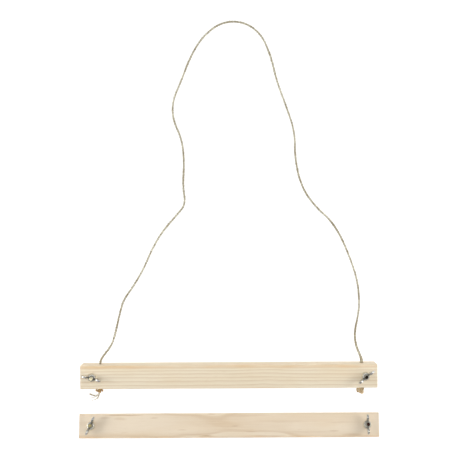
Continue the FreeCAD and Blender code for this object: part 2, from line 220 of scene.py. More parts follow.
def sweep(centres, radii, sides):
    """A closed tube round a line, with a radius at each of its points: its vertices, its faces, and
    each vertex's place on the strand laid out straight, in millimetres."""
    _, normals, binormals = frames_along(centres)
    radii = np.asarray(radii)[:, None]
    angles = np.linspace(0.0, 2 * math.pi, sides, endpoint=False)[None, :]
    side = radii * np.cos(angles)
    up = radii * np.sin(angles)
    sideways = side[..., None] * normals[:, None, :]
    upwards = up[..., None] * binormals[:, None, :]
    rings = centres[:, None, :] + sideways + upwards
    along = np.broadcast_to(distances_along(centres)[:, None], side.shape)
    strand = np.stack([along, side, up], axis=-1) / MM
    faces = tube_faces(len(centres), sides) + end_faces(len(centres), sides)
    return rings.reshape(-1, 3), faces, strand.reshape(-1, 3)


def rough_values(count, seed, spacing, amount):
    """Smooth random values about zero, one for each point of a line."""
    draw = np.random.default_rng(seed)
    knots = draw.normal(0.0, amount, count // spacing + 3)
    places = np.arange(count) / spacing
    return np.interp(places, np.arange(len(knots)), knots)


def ply_lines(points, along, diameter, pitch, seed):
    """Centrelines and radii of the plies that twist round a line."""
    _, normals, binormals = frames_along(points)
    lines = []
    wander = rough_values(len(points), seed, 30, 0.35)
    for ply in range(PLIES):
        phase = 2 * math.pi * (along / pitch + ply / PLIES) + wander
        reach = PLY_OFFSET * diameter * (1 + rough_values(len(points), seed + 10 + ply, 12, 0.07))
        side = np.cos(phase)[:, None] * normals
        up = np.sin(phase)[:, None] * binormals
        centres = points + reach[:, None] * (side + up)
        radii = PLY_RADIUS * diameter * (1 + rough_values(len(points), seed + 20 + ply, 7, 0.09))
        lines.append((centres, radii))
    return lines


def fibre(start, direction, bend, length, thickness):
    """A hair-thin loose fibre as a tapering tube."""
    places = []
    radii = []
    for number in range(FIBRE_STEPS + 1):
        share = number / FIBRE_STEPS
        places.append(start + direction * (length * share) + bend * (length * share * share))
        radii.append(thickness * (1 - FIBRE_TAPER * number / FIBRE_STEPS))
    return sweep(np.array(places), radii, FIBRE_SIDES)


def loose_fibres(points, count, diameter, seed, floor=None):
    """Short fibres that stand out of the twine at a slant, as jute's do."""
    draw = np.random.default_rng(seed)
    tangents, normals, binormals = frames_along(points)
    parts = []
    for _ in range(count):
        index = int(draw.integers(2, len(points) - 2))
        angle = draw.uniform(0, 2 * math.pi)
        outward = math.cos(angle) * normals[index] + math.sin(angle) * binormals[index]
        sideways = np.cross(tangents[index], outward)
        start = points[index] + outward * diameter * FIBRE_ROOT
        heading = tangents[index] * draw.choice((-1.0, 1.0)) + outward * draw.uniform(0.15, 0.6)
        heading = heading / np.linalg.norm(heading)
        bend = outward * draw.uniform(-0.2, 0.25) + sideways * draw.uniform(-0.5, 0.5)
        length = draw.uniform(0.8, 2.6) * MM
        if floor is not None:
            tip = start + heading * length + bend * length
            if min(start[2], tip[2]) < floor:
                continue
        parts.append(fibre(start, heading, bend, length, draw.uniform(0.02, 0.04) * MM))
    return parts


def merged_piece(name, parts, shades):
    """One piece of several closed parts. shades holds a 0 to 1 value for each part, or one for each
    of its vertices, for its colour."""
    vertices = []
    faces = []
    values = []
    strands = []
    for (part_vertices, part_faces, strand), shade in zip(parts, shades):
        base = len(vertices)
        vertices.extend(part_vertices)
        faces.extend(tuple(index + base for index in face) for face in part_faces)
        values.append(np.broadcast_to(shade, len(part_vertices)))
        strands.append(strand + (STRAND_GAP * len(strands), 0.0, 0.0))
    mesh = bpy.data.meshes.new(name)
    mesh.from_pydata([tuple(vertex) for vertex in vertices], [], faces)
    shade_values = np.concatenate(values).astype(np.float32)
    mesh.attributes.new("shade", "FLOAT", "POINT").data.foreach_set("value", shade_values)
    places = np.concatenate(strands).astype(np.float32).ravel()
    mesh.attributes.new("strand", "FLOAT_VECTOR", "POINT").data.foreach_set("vector", places)
    piece = new_object(name, mesh)
    recalculate_normals(mesh)
    smooth_shade(piece, 60)
    return piece


def twine_piece(name, line, diameter, seed, fibres, pitch=5.6 * MM, floor=None, end_swell_and_shade=None):
    """A stretch of two-ply twine along a line, with its loose fibres. An optional (length, swelling)
    pair for its first and its last end makes the twine thicker there, and darker with painted shade
    where it meets the bars. The plies lie flat on the floor where there is one. Returns the piece and
    the line's points."""
    points, along = evenly_spaced(line, STRAND_STEP)
    thickness = 1 + rough_values(len(points), seed + 30, *THICKNESS_CHANGE)
    tone = rough_values(len(points), seed + 31, *TONE_CHANGE)
    # Near each end the twine swells, and is darkened with painted shade where it meets the bars.
    if end_swell_and_shade is not None:
        for (length, swelling), away in zip(end_swell_and_shade, (along, along[-1] - along)):
            wear_and_shade = np.exp(-away / length)
            thickness = thickness + swelling * wear_and_shade
            tone = tone - END_SHADE_TONE * wear_and_shade
    parts = []
    shades = []
    for number, (centres, radii) in enumerate(ply_lines(points, along, diameter, pitch, seed)):
        ply = sweep(centres, radii * thickness, PLY_SIDES)
        if floor is not None:
            ply[0][:, 2] = np.maximum(ply[0][:, 2], floor)
        parts.append(ply)
        shades.append(np.repeat(0.45 + 0.12 * number + tone, PLY_SIDES))
    hairs = loose_fibres(points, fibres, diameter, seed + 40, floor)
    parts += hairs
    shades += list(np.random.default_rng(seed + 41).uniform(0.5, 1.0, len(hairs)))
    return merged_piece(name, parts, shades), points


# --- node helpers ---

NOISE_ROUGHNESS = 0.55
TO_MILLIMETRES = (1000.0, 1000.0, 1000.0)


class Shader:
    """A material's node tree, with short ways to add what the materials here share."""

    def __init__(self, name, roughness, metallic=0.0, specular=0.5):
        self.material = bpy.data.materials.new(name)
        self.material.use_nodes = True
        self.nodes = self.material.node_tree.nodes
        self.links = self.material.node_tree.links
        self.surface = self.nodes["Principled BSDF"]
        self.surface.inputs["Roughness"].default_value = roughness
        self.surface.inputs["Metallic"].default_value = metallic
        self.surface.inputs["Specular IOR Level"].default_value = specular
        self.place = self.nodes.new("ShaderNodeTexCoord").outputs["Object"]

    def add(self, kind, **settings):
        node = self.nodes.new(kind)
        for setting, value in settings.items():
            setattr(node, setting, value)
        return node

    def join(self, source, target):
        self.links.new(source, target)

    def scaled(self, source, scale, offset=(0, 0, 0)):
        """Coordinates multiplied by a scale along each axis, and then moved by an offset."""
        mapping = self.add("ShaderNodeMapping")
        mapping.inputs["Scale"].default_value = scale
        mapping.inputs["Location"].default_value = offset
        self.join(source, mapping.inputs["Vector"])
        return mapping.outputs["Vector"]

    def noise(self, source, scale, detail, offset=(0, 0, 0)):
        """Noise over scaled coordinates. scale is one number, or one for each axis."""
        scale = (scale, scale, scale) if isinstance(scale, float) else scale
        texture = self.add("ShaderNodeTexNoise")
        texture.inputs["Scale"].default_value = 1.0
        texture.inputs["Detail"].default_value = detail
        texture.inputs["Roughness"].default_value = NOISE_ROUGHNESS
        self.join(self.scaled(source, scale, offset), texture.inputs["Vector"])
        return texture.outputs["Fac"]

    def math(self, operation, first, second=None, third=None, clamp=False):
        node = self.add("ShaderNodeMath", operation=operation, use_clamp=clamp)
        for socket, value in zip(node.inputs, (first, second, third)):
            if value is None:
                continue
            if isinstance(value, (int, float)):
                socket.default_value = value
            else:
                self.join(value, socket)
        return node.outputs[0]

    def ramp(self, value, stops, interpolation="LINEAR"):
        """A colour ramp of (position, colour or grey) stops."""
        node = self.add("ShaderNodeValToRGB")
        node.color_ramp.interpolation = interpolation
        elements = node.color_ramp.elements
        while len(elements) < len(stops):
            elements.new(0.5)
        for element, (position, colour) in zip(elements, stops):
            element.position = position
            shade = (colour, colour, colour) if isinstance(colour, (int, float)) else colour
            element.color = (*shade, 1.0)
        self.join(value, node.inputs["Fac"])
        return node.outputs["Color"]

    def sum_of_squares(self, first, second):
        squares = [self.math("MULTIPLY", value, value) for value in (first, second)]
        return self.math("ADD", *squares)

    def mix(self, factor, first, second):
        """Two colours mixed. The node has a set of sockets for each data type, so they go by number."""
        node = self.add("ShaderNodeMix", data_type="RGBA")
        for number, value in ((0, factor), (6, first), (7, second)):
            socket = node.inputs[number]
            if isinstance(value, (int, float)):
                socket.default_value = value
            elif isinstance(value, tuple):
                socket.default_value = (*value, 1.0)
            else:
                self.join(value, socket)
        return node.outputs[2]

    def bump(self, height, distance, strength):
        node = self.add("ShaderNodeBump")
        node.inputs["Strength"].default_value = strength
        node.inputs["Distance"].default_value = distance
        self.join(height, node.inputs["Height"])
        return node.outputs["Normal"]

    def finish(self, colour, roughness=None, normal=None):
        self.join(colour, self.surface.inputs["Base Color"])
        if roughness is not None:
            self.join(roughness, self.surface.inputs["Roughness"])
        if normal is not None:
            self.join(normal, self.surface.inputs["Normal"])
        return self.material


def linear(red, green, blue):
    """An sRGB colour of 0 to 255 as the linear values that shaders use."""
    def channel(value):
        value /= 255
        return value / 12.92 if value <= 0.04045 else ((value + 0.055) / 1.055) ** 2.4

    return channel(red), channel(green), channel(blue)


def tinted(colour, factors):
    """A colour with each of its channels multiplied by a factor."""
    return tuple(channel * factor for channel, factor in zip(colour, factors))


# --- materials ---

def pine(name, pith, ring_spacing, ring_contrast, pale, dark, seed, streaks=(), band=None, wander=1.0):
    """Planed pine along X. The growth rings are circles about the pith, which is a point across the
    bar in millimetres from its middle, so they show as lines on the faces and as arcs on the ends.
    streaks are (x, y, half length, half width, strength) of dark marks, and band is (y, half width)
    of an orange stripe. Both go right through the bar."""
    shader = Shader(name, roughness=0.6, specular=0.5)
    place = shader.scaled(shader.place, TO_MILLIMETRES)
    split = shader.add("ShaderNodeSeparateXYZ")
    shader.join(place, split.inputs[0])
    x, y, z = split.outputs

    def slow(lengths, offset, detail=2.0):
        """Noise that changes over these lengths in millimetres along each axis."""
        stretch = tuple(1.0 / length for length in lengths)
        return shader.noise(place, stretch, detail, offset=(seed + offset, offset, 0.0))

    def sway(lengths, offset, amount, detail=2.0):
        """Slow noise that goes up to half the amount either way."""
        return shader.math("MULTIPLY_ADD", slow(lengths, offset, detail), amount, -amount / 2)

    # Growth rings, which wander a little along the bar.
    drift_y = sway((95.0, 60.0, 60.0), 3.1, 5.0 * wander)
    drift_z = sway((130.0, 70.0, 70.0), 7.7, 5.0 * wander)
    ripple = sway((16.0, 5.0, 5.0), 1.3, 1.0)
    across = shader.math("ADD", shader.math("SUBTRACT", y, pith[0]), shader.math("ADD", drift_y, ripple))
    through = shader.math("ADD", shader.math("SUBTRACT", z, pith[1]), drift_z)
    distance = shader.math("SQRT", shader.sum_of_squares(across, through))
    uneven = sway((400.0, 6.5, 6.5), 5.9, 2.4, detail=0.0)
    rings = shader.math("FRACT", shader.math("DIVIDE", shader.math("ADD", distance, uneven), ring_spacing))
    stops = ((0.0, 0.0), (0.35, 0.08), (0.68, 0.45), (0.86, 1.0), (0.94, 0.75), (1.0, 0.0))
    late = shader.ramp(rings, stops, "EASE")

    # Fibres, a slow change of tone and small resin flecks.
    fibre_noise = shader.noise(place, (0.03, 1.6, 1.6), 5.0, offset=(seed, 0, 0))
    fine_noise = shader.noise(place, (0.12, 6.0, 6.0), 3.0, offset=(seed, 4, 0))
    tone = slow((70.0, 16.0, 16.0), 9.4)
    fleck = shader.noise(place, (0.11, 2.3, 2.3), 1.0, offset=(seed, 8, 2))
    fleck = shader.ramp(fleck, ((0.70, 0.0), (0.80, 1.0)))

    strength = shader.math("MULTIPLY", late, shader.math("MULTIPLY_ADD", tone, 0.9, 0.35))
    strength = shader.math("MULTIPLY", strength, ring_contrast)
    colour = shader.mix(strength, pale, dark)
    warm = tinted(pale, (0.93, 0.86, 0.76))
    colour = shader.mix(shader.ramp(tone, ((0.40, 0.0), (0.72, 0.55))), colour, warm)
    light = tinted(pale, (1.05, 1.07, 1.10))
    colour = shader.mix(shader.ramp(fibre_noise, ((0.50, 0.0), (0.75, 0.45))), colour, light)
    shade = tinted(dark, (0.84, 0.76, 0.64))
    colour = shader.mix(shader.ramp(fine_noise, ((0.55, 0.0), (0.85, 0.22))), colour, shade)
    colour = shader.mix(shader.math("MULTIPLY", fleck, 0.30), colour, shade)

    wave = sway((26.0, 12.0, 12.0), 2.2, 2.4)
    wavy_y = shader.math("ADD", y, wave)
    if band is not None:
        away = shader.math("ABSOLUTE", shader.math("SUBTRACT", wavy_y, band[0]))
        inside = shader.math("SUBTRACT", 1.0, shader.math("DIVIDE", away, band[1]), clamp=True)
        patchy = shader.ramp(slow((38.0, 9.0, 9.0), 6.3), ((0.35, 0.25), (0.62, 1.0)))
        orange = tinted(pale, (0.89, 0.72, 0.53))
        colour = shader.mix(shader.math("MULTIPLY", inside, patchy), colour, orange)
    for streak_x, streak_y, half_length, half_width, depth in streaks:
        along = shader.math("DIVIDE", shader.math("SUBTRACT", x, streak_x), half_length)
        aside = shader.math("DIVIDE", shader.math("SUBTRACT", wavy_y, streak_y), half_width)
        mark = shader.math("SUBTRACT", 1.0, shader.sum_of_squares(along, aside), clamp=True)
        mark = shader.math("MULTIPLY", mark, shader.math("MULTIPLY_ADD", fibre_noise, 1.2, -0.05))
        colour = shader.mix(shader.math("MULTIPLY", mark, depth, clamp=True), colour, shade)

    # The sawn ends are darker, and show the rings more.
    normal = shader.add("ShaderNodeSeparateXYZ")
    shader.join(shader.nodes["Texture Coordinate"].outputs["Normal"], normal.inputs[0])
    end = shader.ramp(shader.math("ABSOLUTE", normal.outputs[0]), ((0.55, 0.0), (0.85, 1.0)))
    pores = shader.noise(place, 3.0, 3.0)
    end_pale = tinted(pale, (0.90, 0.82, 0.72))
    end_dark = tinted(dark, (0.74, 0.62, 0.48))
    end_colour = shader.mix(shader.math("MULTIPLY_ADD", pores, 0.5, late, clamp=True), end_pale, end_dark)
    colour = shader.mix(end, colour, end_colour)

    height = shader.math("MULTIPLY_ADD", late, 0.35, shader.math("MULTIPLY", fibre_noise, 0.9))
    height = shader.math("MULTIPLY_ADD", fine_noise, 0.45, height)
    height = shader.math("MULTIPLY_ADD", shader.math("MULTIPLY", end, pores), 1.6, height)
    bump = shader.bump(height, 0.00012, strength=0.55)
    roughness = shader.math("MULTIPLY_ADD", fine_noise, 0.24, shader.math("MULTIPLY_ADD", late, -0.08, 0.48))
    return shader.finish(colour, roughness, bump)


# How fast a bolt's painted end colour comes in above its height, per millimetre.
TIP_SLOPE = 10.0


def zinc(name, clear, bloom, stain, wear_and_shade, roughness, tip=None):
    """Zinc plating in patches of clear, bloomed and faintly stained colour, with specks of wear. On the
    washers all four colours are warm pale painted light instead. tip is the height in millimetres above
    which a bolt's cut end has another colour, and that colour: painted shade on the dark ends and
    painted highlight on the pale ones."""
    shader = Shader(name, roughness=roughness, metallic=1.0)
    place = shader.scaled(shader.place, TO_MILLIMETRES)
    cloud = shader.noise(place, 0.45, 3.0)
    grain = shader.noise(place, 2.6, 4.0)
    speck = shader.noise(place, 7.0, 2.0)
    colour = shader.ramp(cloud, ((0.30, bloom), (0.50, clear), (0.62, stain), (0.75, clear)))
    colour = shader.mix(shader.ramp(grain, ((0.50, 0.0), (0.72, 0.6))), colour, wear_and_shade)
    if tip is not None:
        split = shader.add("ShaderNodeSeparateXYZ")
        shader.join(place, split.inputs[0])
        height = split.outputs[2]
        near_tip = shader.math("MULTIPLY_ADD", height, TIP_SLOPE, -TIP_SLOPE * tip[0], clamp=True)
        colour = shader.mix(near_tip, colour, tip[1])
    height = shader.math("MULTIPLY_ADD", grain, 1.0, shader.math("MULTIPLY", speck, 0.35))
    bump = shader.bump(height, 0.00018, strength=0.6)
    clouded = shader.math("MULTIPLY_ADD", cloud, 0.25, roughness - 0.25)
    return shader.finish(colour, shader.math("MULTIPLY_ADD", grain, 0.25, clouded), bump)


def jute(name, pale, brown, deep):
    """Jute twine. Its fibres run along each strand, which the meshes' strand places give."""
    shader = Shader(name, roughness=0.85, specular=0.2)
    strand = shader.add("ShaderNodeAttribute", attribute_name="strand").outputs["Vector"]
    shade = shader.add("ShaderNodeAttribute", attribute_name="shade").outputs["Fac"]
    place = shader.scaled(shader.place, TO_MILLIMETRES)
    fibres = shader.noise(strand, (0.5, 7.0, 7.0), 4.0)
    hairs = shader.noise(strand, (0.9, 16.0, 16.0), 2.0)
    patches = shader.noise(place, 0.16, 3.0)
    knots = shader.noise(place, 0.9, 1.0)
    value = shader.math("MULTIPLY_ADD", fibres, 0.70, shader.math("MULTIPLY_ADD", shade, 0.62, -0.24))
    bright = tuple(min(1.0, channel * 1.18) for channel in pale)
    colour = shader.ramp(value, ((0.22, brown), (0.46, pale), (0.74, bright)))
    colour = shader.mix(shader.ramp(patches, ((0.46, 0.0), (0.64, 0.80))), colour, brown)
    colour = shader.mix(shader.ramp(knots, ((0.60, 0.0), (0.72, 0.8))), colour, deep)
    height = shader.math("MULTIPLY_ADD", hairs, 0.5, fibres)
    bump = shader.bump(height, 0.00012, strength=0.8)
    return shader.finish(colour, normal=bump)


# The table's glow, and the two greys that it is patched with.
GLOW = 0.80
TABLE_GREYS = (0.40, 0.42)


def table_top(name):
    """A plain table with a hint of unevenness. Most of its white is its own glow, which keeps the
    shadows on it faint."""
    shader = Shader(name, roughness=0.8, specular=0.1)
    cloud = shader.noise(shader.place, 3.0, 2.0)
    colour = shader.ramp(cloud, ((0.3, TABLE_GREYS[0]), (0.7, TABLE_GREYS[1])))
    shader.surface.inputs["Emission Color"].default_value = (1.0, 1.0, 1.0, 1.0)
    shader.surface.inputs["Emission Strength"].default_value = GLOW
    return shader.finish(colour)


# Marks on the lower front bar: x, y, half length, half width in millimetres, and strength. Most are
# dark grain; the first two, by the left nut, are partly grain and partly painted shadow of its upper wing.
LOWER_MARKS = [
    (-107.0, 10.6, 24.0, 0.9, 1.3), (-125.0, 7.6, 7.0, 1.3, 0.5), (-105.0, -6.5, 5.0, 0.5, 0.6),
    (-75.0, 7.6, 5.0, 0.6, 0.8), (-47.0, -4.2, 5.5, 0.6, 0.6), (-23.0, -10.6, 9.0, 0.7, 1.3),
    (-18.0, 11.4, 5.0, 0.6, 0.8), (6.0, -0.4, 5.0, 0.7, 0.8), (22.0, -6.6, 7.0, 0.7, 0.7),
    (105.0, -6.0, 6.0, 0.6, 0.8), (124.0, -9.8, 12.0, 1.6, 0.6), (18.0, 9.2, 26.0, 1.4, 0.4),
    (52.0, 3.6, 34.0, 1.5, 0.35), (84.0, -6.8, 30.0, 1.6, 0.4), (112.0, 2.4, 18.0, 1.0, 0.35),
    (-34.0, -8.6, 22.0, 1.1, 0.4), (38.0, -10.4, 20.0, 0.9, 0.5),
]

PINE_PALE = linear(240, 227, 202)
PINE_DARK = linear(206, 176, 136)
LOWER_PALE = linear(235, 219, 195)
LOWER_DARK = linear(210, 183, 148)

pine_of = {
    "upper_front_bar": pine("upper_front_pine", (-64.0, -26.0), 3.1, 0.72, PINE_PALE, PINE_DARK, 2.0,
                            band=(10.2, 2.6), wander=0.6),
    "upper_back_bar": pine("upper_back_pine", (-30.0, 46.0), 3.4, 0.8, PINE_PALE, PINE_DARK, 31.0),
    "lower_front_bar": pine("lower_front_pine", (3.0, -42.0), 3.3, 0.85, LOWER_PALE, LOWER_DARK, 57.0,
                            streaks=LOWER_MARKS, band=(-12.0, 2.2), wander=2.2),
    "lower_back_bar": pine("lower_back_pine", (52.0, 20.0), 2.9, 0.7, LOWER_PALE, LOWER_DARK, 83.0),
}
nut_metal = zinc("nut_zinc", linear(208, 208, 204), linear(184, 185, 184), linear(208, 202, 184),
                 linear(146, 146, 144), roughness=0.26)
# The washers' four colours are warm pale tones near the pine's, lightened against the shade the nuts cast on
# them: painted light over the zinc.
washer_painted_light_zinc = zinc("washer_zinc", linear(230, 217, 192), linear(214, 202, 178), linear(231, 216, 186),
                    linear(196, 184, 162), roughness=0.5)
# The colour of each bolt's cut end: the dark right-hand ones are painted shade, and the paler left-hand ones
# are the cut steel's tone lifted with painted highlight.
BOLT_END_SHADE_AND_HIGHLIGHT = {
    "upper_left": linear(224, 214, 178), "upper_right": linear(40, 33, 28),
    "lower_left": linear(150, 140, 100), "lower_right": linear(52, 34, 28),
}
# The height in millimetres above which a bolt's end takes its painted end colour.
BOLT_END = 36.95
bolt_metal = {
    place: zinc(f"{place}_bolt_zinc", linear(178, 176, 164), linear(152, 150, 140), linear(186, 178, 152),
                linear(112, 106, 96), roughness=0.36, tip=(BOLT_END, colour))
    for place, colour in BOLT_END_SHADE_AND_HIGHLIGHT.items()
}
twine_jute = jute("twine_jute", linear(213, 208, 188), linear(162, 150, 123), linear(102, 90, 68))
fray_jute = jute("fray_jute", linear(212, 207, 192), linear(180, 171, 152), linear(134, 122, 101))
knot_jute = {
    "left": jute("left_knot_jute", linear(216, 187, 137), linear(180, 143, 92), linear(112, 82, 50)),
    "right": jute("right_knot_jute", linear(218, 199, 164), linear(186, 159, 117), linear(122, 92, 58)),
}


def finish_piece(piece, material, slot, body, *nodes):
    """Gives a finished piece its material, its body and the CAD nodes it stands for. The slot is not used."""
    piece.data.materials.clear()
    piece.data.materials.append(material)
    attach(piece, body)
    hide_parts(*nodes)
    return piece


# --- hardware and bars, built in millimetres and then placed ---

HEAD_HEIGHT = 2.2
HEAD_RADIUS = 5.0
HEAD_RIM = 0.45
DOME_STEPS = 12
NECK_HALF = 2.2
NECK_END = 5.2
NECK_BLEND = 0.3
NECK_SQUARENESS = 8
SHANK_RADIUS = 2.0
THREAD_START = 13.0
THREAD_DEPTH = 0.36
THREAD_PITCH = 0.7
THREAD_RUN_OUT = 1.2
THREAD_STEPS = 8
BOLT_TIP = 37.2
BOLT_SIDES = 48
TIP_CHAMFER = 0.55
TIP_SLANT = 0.75
TIP_DISH = {"radius": 0.9, "rim": 0.1, "middle": 0.14}
WASHER = {"radius": 4.5, "bore": 2.15, "thickness": 0.8}
SEAM = {"upper": 1.0, "lower": 0.0}
WING_ANGLE = {"upper_left": -15.0, "upper_right": 39.5, "lower_left": 66.0, "lower_right": 91.5}

BAR_TALL = {"upper": 23.4, "lower": 24.2}
BAR_DEEP = 12.0


def clamp_turn(clamp):
    """How the clamp is tipped, from the direction in which it opens."""
    axis = JOINT[f"{clamp}_clamp_opening"]["axis"]
    return Matrix.Rotation(-math.atan2(axis[1], axis[2]), 4, "X")


def nut_seat(clamp, side):
    """The middle of the nut's foot on its bolt's axis."""
    return Vector(JOINT[f"{clamp}_{side}_nut_turn"]["pos_m"])


def along_bolt(clamp, side, height):
    """The place on a bolt's axis so many millimetres above the underside of its head's dome."""
    seat_height = HEAD_HEIGHT + 2 * BAR_DEEP + SEAM[clamp] + WASHER["thickness"]
    turn = clamp_turn(clamp)
    upward = turn @ Vector((0.0, 0.0, 1.0))
    return Matrix.Translation(nut_seat(clamp, side) + upward * (height - seat_height) * MM) @ turn


def placed(piece, matrix):
    """Turns a piece built in millimetres into one in metres at its place."""
    piece.data.transform(Matrix.Scale(MM, 4))
    piece.matrix_world = matrix
    return piece


def lathe(name, profile, sides=48, ring=False):
    """A solid of revolution about Z from (radius, height) points. A ring's profile closes on itself."""
    vertices = []
    for radius, height in profile:
        vertices += ring_points(radius, height, sides)
    faces = tube_faces(len(profile), sides, closed=ring)
    if not ring:
        faces += end_faces(len(profile), sides)
    piece = new_object(name, mesh_from(name, vertices, faces))
    recalculate_normals(piece.data)
    return piece


def cut(piece, *cutters):
    """Takes the cutters' shapes out of the piece, and removes them."""
    for cutter in cutters:
        modifier = piece.modifiers.new("cut", "BOOLEAN")
        modifier.object = cutter
        modifier.operation = "DIFFERENCE"
        modifier.solver = "EXACT"
    apply_modifiers(piece)
    for cutter in cutters:
        bpy.data.objects.remove(cutter)


EASED_EDGE = 0.42
RING_STEP = 3.0
CORNER_STEPS = 4
# How a board's ends are eased: distances from the end, and how far the section is drawn in there.
BOARD_END = ((0.0, 0.26), (0.08, 0.10), (0.26, 0.0))
END_STRETCH = 1.0
HOLE = {"radius": 2.2, "mouth": 2.6, "chamfer": 0.3, "past": 0.4, "sides": 32}


def board_section(tall, deep, radii):
    """A rounded rectangle's points, with its own radius at each corner."""
    points = []
    sides = ((1, 1, 0), (-1, 1, 90), (-1, -1, 180), (1, -1, 270))
    for (across, up, start), radius in zip(sides, radii):
        for step in range(CORNER_STEPS + 1):
            angle = math.radians(start + 90 * step / CORNER_STEPS)
            points.append((across * (tall / 2 - radius) + radius * math.cos(angle),
                           up * (deep / 2 - radius) + radius * math.sin(angle)))
    return points


def hole_cutter(place):
    """The shape of a bolt hole through a board, chamfered at both mouths."""
    mouth = BAR_DEEP / 2
    upper_half = [(HOLE["radius"], mouth - HOLE["chamfer"]), (HOLE["mouth"], mouth),
                  (HOLE["mouth"], mouth + HOLE["past"])]
    lower_half = [(radius, -height) for radius, height in reversed(upper_half)]
    cutter = lathe("hole", lower_half + upper_half, sides=HOLE["sides"])
    cutter.location = (place, 0.0, 0.0)
    return cutter


def board(name, length, tall, bolt_places, seed):
    """A planed board along X in millimetres, its edges eased a little unevenly, with its bolt holes."""
    half = length / 2
    start = [(-half + x, inset) for x, inset in BOARD_END]
    between = length - 2 * END_STRETCH
    count = int(between / RING_STEP)
    stations = start + [(-half + END_STRETCH + between * number / count, 0.0) for number in range(count + 1)]
    stations += [(-x, inset) for x, inset in reversed(start)]
    vertices = []
    for x, inset in stations:
        radii = []
        for corner in range(4):
            slow = noise.noise(Vector((x / 23.0, 5.0 * corner, seed)))
            quick = noise.noise(Vector((x / 5.0, 5.0 * corner, seed + 9.0)))
            radii.append(EASED_EDGE * min(1.6, max(0.6, 1.0 + 0.5 * slow + 0.35 * quick)))
        section = board_section(tall - 2 * inset, BAR_DEEP - 2 * inset, radii)
        vertices += [(x, across, up) for across, up in section]
    sides = 4 * (CORNER_STEPS + 1)
    faces = tube_faces(len(stations), sides) + end_faces(len(stations), sides)
    piece = new_object(name, mesh_from(name, vertices, faces))
    recalculate_normals(piece.data)
    cut(piece, *(hole_cutter(place) for place in bolt_places))
    smooth_shade(piece, 35)
    return piece


def bolt_radius(height, angle):
    """The bolt's radius at a height above its head's dome and an angle round it."""
    if height <= NECK_END - NECK_BLEND:
        parts = (abs(part) ** NECK_SQUARENESS for part in (math.cos(angle), math.sin(angle)))
        return NECK_HALF / sum(parts) ** (1 / NECK_SQUARENESS)
    if height < THREAD_START:
        return SHANK_RADIUS
    turn = (height - THREAD_START) / THREAD_PITCH - angle / (2 * math.pi)
    groove = 0.5 - 0.5 * math.cos(2 * math.pi * turn)
    run_out = min(1.0, (height - THREAD_START) / THREAD_RUN_OUT)
    chamfer = max(0.0, TIP_CHAMFER - (BOLT_TIP - height)) * TIP_SLANT
    return min(SHANK_RADIUS - THREAD_DEPTH * groove * run_out, SHANK_RADIUS - chamfer)


def carriage_bolt(name):
    """A carriage bolt standing on its domed head, as one surface of rings from dome to tip."""
    dome = HEAD_HEIGHT - HEAD_RIM
    curve = (HEAD_RADIUS ** 2 + dome ** 2) / (2 * dome)
    rows = []
    for step in range(1, DOME_STEPS + 1):
        reach = HEAD_RADIUS * step / DOME_STEPS
        rows.append((curve - math.sqrt(curve * curve - reach * reach), reach))
    rows += [(HEAD_HEIGHT - 0.15, HEAD_RADIUS), (HEAD_HEIGHT, HEAD_RADIUS - 0.12)]
    heights = [HEAD_HEIGHT, NECK_END - NECK_BLEND, NECK_END, THREAD_START]
    step = THREAD_PITCH / THREAD_STEPS
    count = int((BOLT_TIP - THREAD_START) / step)
    heights += [THREAD_START + step * number for number in range(1, count + 1)] + [BOLT_TIP]
    angles = [2 * math.pi * side / BOLT_SIDES for side in range(BOLT_SIDES)]
    vertices = [(0.0, 0.0, 0.0)]
    for height, reach in rows:
        vertices += ring_points(reach, height, BOLT_SIDES)
    for height in heights:
        for angle in angles:
            reach = bolt_radius(height, angle)
            vertices.append((reach * math.cos(angle), reach * math.sin(angle), height))
    vertices += ring_points(TIP_DISH["radius"], BOLT_TIP - TIP_DISH["rim"], BOLT_SIDES)
    vertices.append((0.0, 0.0, BOLT_TIP - TIP_DISH["middle"]))
    rings = len(rows) + len(heights) + 1
    faces = tube_faces(rings, BOLT_SIDES, first=1)
    last = 1 + (rings - 1) * BOLT_SIDES
    for side in range(BOLT_SIDES):
        following = (side + 1) % BOLT_SIDES
        faces.append((0, 1 + following, 1 + side))
        faces.append((last + side, last + following, len(vertices) - 1))
    piece = new_object(name, mesh_from(name, vertices, faces))
    recalculate_normals(piece.data)
    smooth_shade(piece, 50)
    return piece


def washer(name):
    """A flat washer with edges rounded by its stamping."""
    outer, bore, thick = WASHER["radius"], WASHER["bore"], WASHER["thickness"]
    profile = [(bore + 0.08, 0.0), (outer - 0.05, 0.0), (outer, 0.06), (outer, thick - 0.3),
               (outer - 0.08, thick - 0.1), (outer - 0.28, thick), (bore + 0.2, thick),
               (bore + 0.05, thick - 0.06), (bore, thick - 0.2), (bore, 0.08)]
    piece = lathe(name, profile, ring=True)
    smooth_shade(piece, 50)
    return piece


WING = {"span": 20.0, "height": 10.5, "lobe": 3.0, "inside": 1.0, "root": 2.9, "foot_height": 0.3,
        "root_height": 4.4}
WING_THICKNESS = (2.3, 1.5)
LOBE_STEPS = 16
CASTING = {"voxel": 0.2, "smoothing": 0.5, "passes": 6}
NUT_SIDES = 64
# The gap that keeps a nut's foot clear of its washer.
NUT_GAP = 0.03
HUB_PROFILE = [(3.75, 0.0), (4.0, 0.25), (3.62, 3.9), (3.4, 4.45), (3.1, 4.6)]
BORE_PROFILE = [(2.7, -0.5), (2.7, 0.0), (2.2, 0.5), (2.2, 4.1), (2.65, 4.6), (2.65, 5.2)]


def tangent_point(outside, centre, radius, side):
    """Where a line from a point touches a circle, on its left for side 1 and its right for -1."""
    towards = centre - outside
    angle = math.atan2(towards.y, towards.x) - side * math.asin(radius / towards.length)
    reach = math.sqrt(towards.length_squared - radius * radius)
    return outside + Vector((math.cos(angle), math.sin(angle))) * reach


